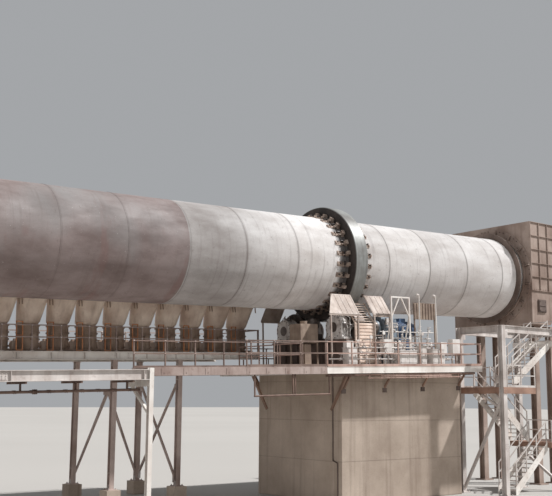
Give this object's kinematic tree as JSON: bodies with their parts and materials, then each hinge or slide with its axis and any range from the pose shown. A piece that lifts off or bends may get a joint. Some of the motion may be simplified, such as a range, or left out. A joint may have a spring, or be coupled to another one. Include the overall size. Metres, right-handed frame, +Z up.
{
  "type": "rotary kiln, 1:2 scale model",
  "caption": "Rotary kiln, a 1:2 scale model: sloping shell with tyres on support rollers, concrete piers, platforms, cooling fans, stair tower, feed chamber and discharge hood.",
  "frame": {"origin": "ground level under the middle of the feed-end tyre, on the kiln's centre line", "axes": "+X along the kiln towards its feed end, +Y away from the stair side, +Z up"},
  "size_m": [28.9781, 5.82, 7.05],
  "materials": {
    "cabinet_white": "satin",
    "casing_steel": "dusty",
    "concrete": "rough",
    "fan_steel": "dusty",
    "frame_steel": "dusty",
    "machine_grey": "satin",
    "motor_blue": "satin",
    "orange_steel": "satin",
    "pad_steel": "dusty",
    "painted_steel": "satin, dusty",
    "pipe_brown": "dusty",
    "reducer_blue": "satin, dusty",
    "refractory": "rough",
    "roller_steel": "worn",
    "seal_steel": "matte",
    "shell_steel": "matte, heat-faded",
    "shield_steel": "dusty",
    "tyre_steel": "worn, oiled"
  },
  "bodies": {
    "plant": {"feed_bearings": "machine_grey", "discharge_bearings": "machine_grey", "feed_base_frame": "frame_steel", "discharge_base_frame": "frame_steel", "feed_heat_shields": "shield_steel", "discharge_heat_shields": "shield_steel", "drive_screen": "shield_steel", "roller_guard": "shield_steel", "thrust_roller": "roller_steel", "drive_reducer": "reducer_blue", "drive_motor": "motor_blue", "feed_pier": "concrete", "discharge_pier": "concrete", "feed_platform": "painted_steel", "discharge_platform": "painted_steel", "feed_platform_rails": "painted_steel", "discharge_platform_rails": "painted_steel", "hoist_frame": "cabinet_white", "light_poles": "cabinet_white", "control_cabinets": "cabinet_white", "oil_unit": "shield_steel", "service_walkway": "painted_steel", "walkway_rails": "painted_steel", "service_girder": "painted_steel", "service_posts": "painted_steel", "water_pipes": "pipe_brown", "gallery_deck": "painted_steel", "gallery_rails": "painted_steel", "gallery_legs": "painted_steel", "fan_cases": "fan_steel", "fan_nozzles": "fan_steel", "fan_frames": "orange_steel", "post_plinths": "concrete", "stair_tower_posts": "painted_steel", "stair_landings": "painted_steel", "lower_flight": "cabinet_white", "middle_flight": "cabinet_white", "upper_flight": "cabinet_white", "stair_rails": "painted_steel", "feed_chamber": "casing_steel", "chamber_flange": "casing_steel", "chamber_stand": "casing_steel", "discharge_hood": "casing_steel", "hood_stand": "casing_steel"},
    "kiln": {"shell_discharge_end": "shell_steel", "shell_lower_run": "shell_steel", "shell_upper_run": "shell_steel", "shell_feed_end": "shell_steel", "kiln_lining": "refractory", "feed_tyre": "tyre_steel", "discharge_tyre": "tyre_steel", "feed_tyre_pads": "pad_steel", "discharge_tyre_pads": "pad_steel", "feed_seal_ring": "seal_steel", "nose_ring": "seal_steel"},
    "feed_roller_front": {"feed_roller_front": "roller_steel"},
    "feed_roller_rear": {"feed_roller_rear": "roller_steel"},
    "discharge_roller_front": {"discharge_roller_front": "roller_steel"},
    "discharge_roller_rear": {"discharge_roller_rear": "roller_steel"}
  },
  "joints": [
    {"name": "kiln_spin", "type": "hinge", "parent": "plant", "child": "kiln", "pos_m": [0, 0, 5.4], "axis": [0.9996, 0, 0.03], "continuous": true},
    {"name": "feed_roller_front_spin", "type": "hinge", "parent": "plant", "child": "feed_roller_front", "pos_m": [0.04662, -0.89765, 3.84592], "axis": [0.9996, 0, 0.03], "continuous": true},
    {"name": "feed_roller_rear_spin", "type": "hinge", "parent": "plant", "child": "feed_roller_rear", "pos_m": [0.04662, 0.89765, 3.84592], "axis": [0.9996, 0, 0.03], "continuous": true},
    {"name": "discharge_roller_front_spin", "type": "hinge", "parent": "plant", "child": "discharge_roller_front", "pos_m": [-14.95338, -0.89765, 3.39592], "axis": [0.9996, 0, 0.03], "continuous": true},
    {"name": "discharge_roller_rear_spin", "type": "hinge", "parent": "plant", "child": "discharge_roller_rear", "pos_m": [-14.95338, 0.89765, 3.39592], "axis": [0.9996, 0, 0.03], "continuous": true}
  ],
  "couplings": [
    {"joint": "feed_roller_front_spin", "follows": "kiln_spin", "ratio": -3.2235},
    {"joint": "feed_roller_rear_spin", "follows": "kiln_spin", "ratio": -3.2235},
    {"joint": "discharge_roller_front_spin", "follows": "kiln_spin", "ratio": -3.2235},
    {"joint": "discharge_roller_rear_spin", "follows": "kiln_spin", "ratio": -3.2235}
  ]
}
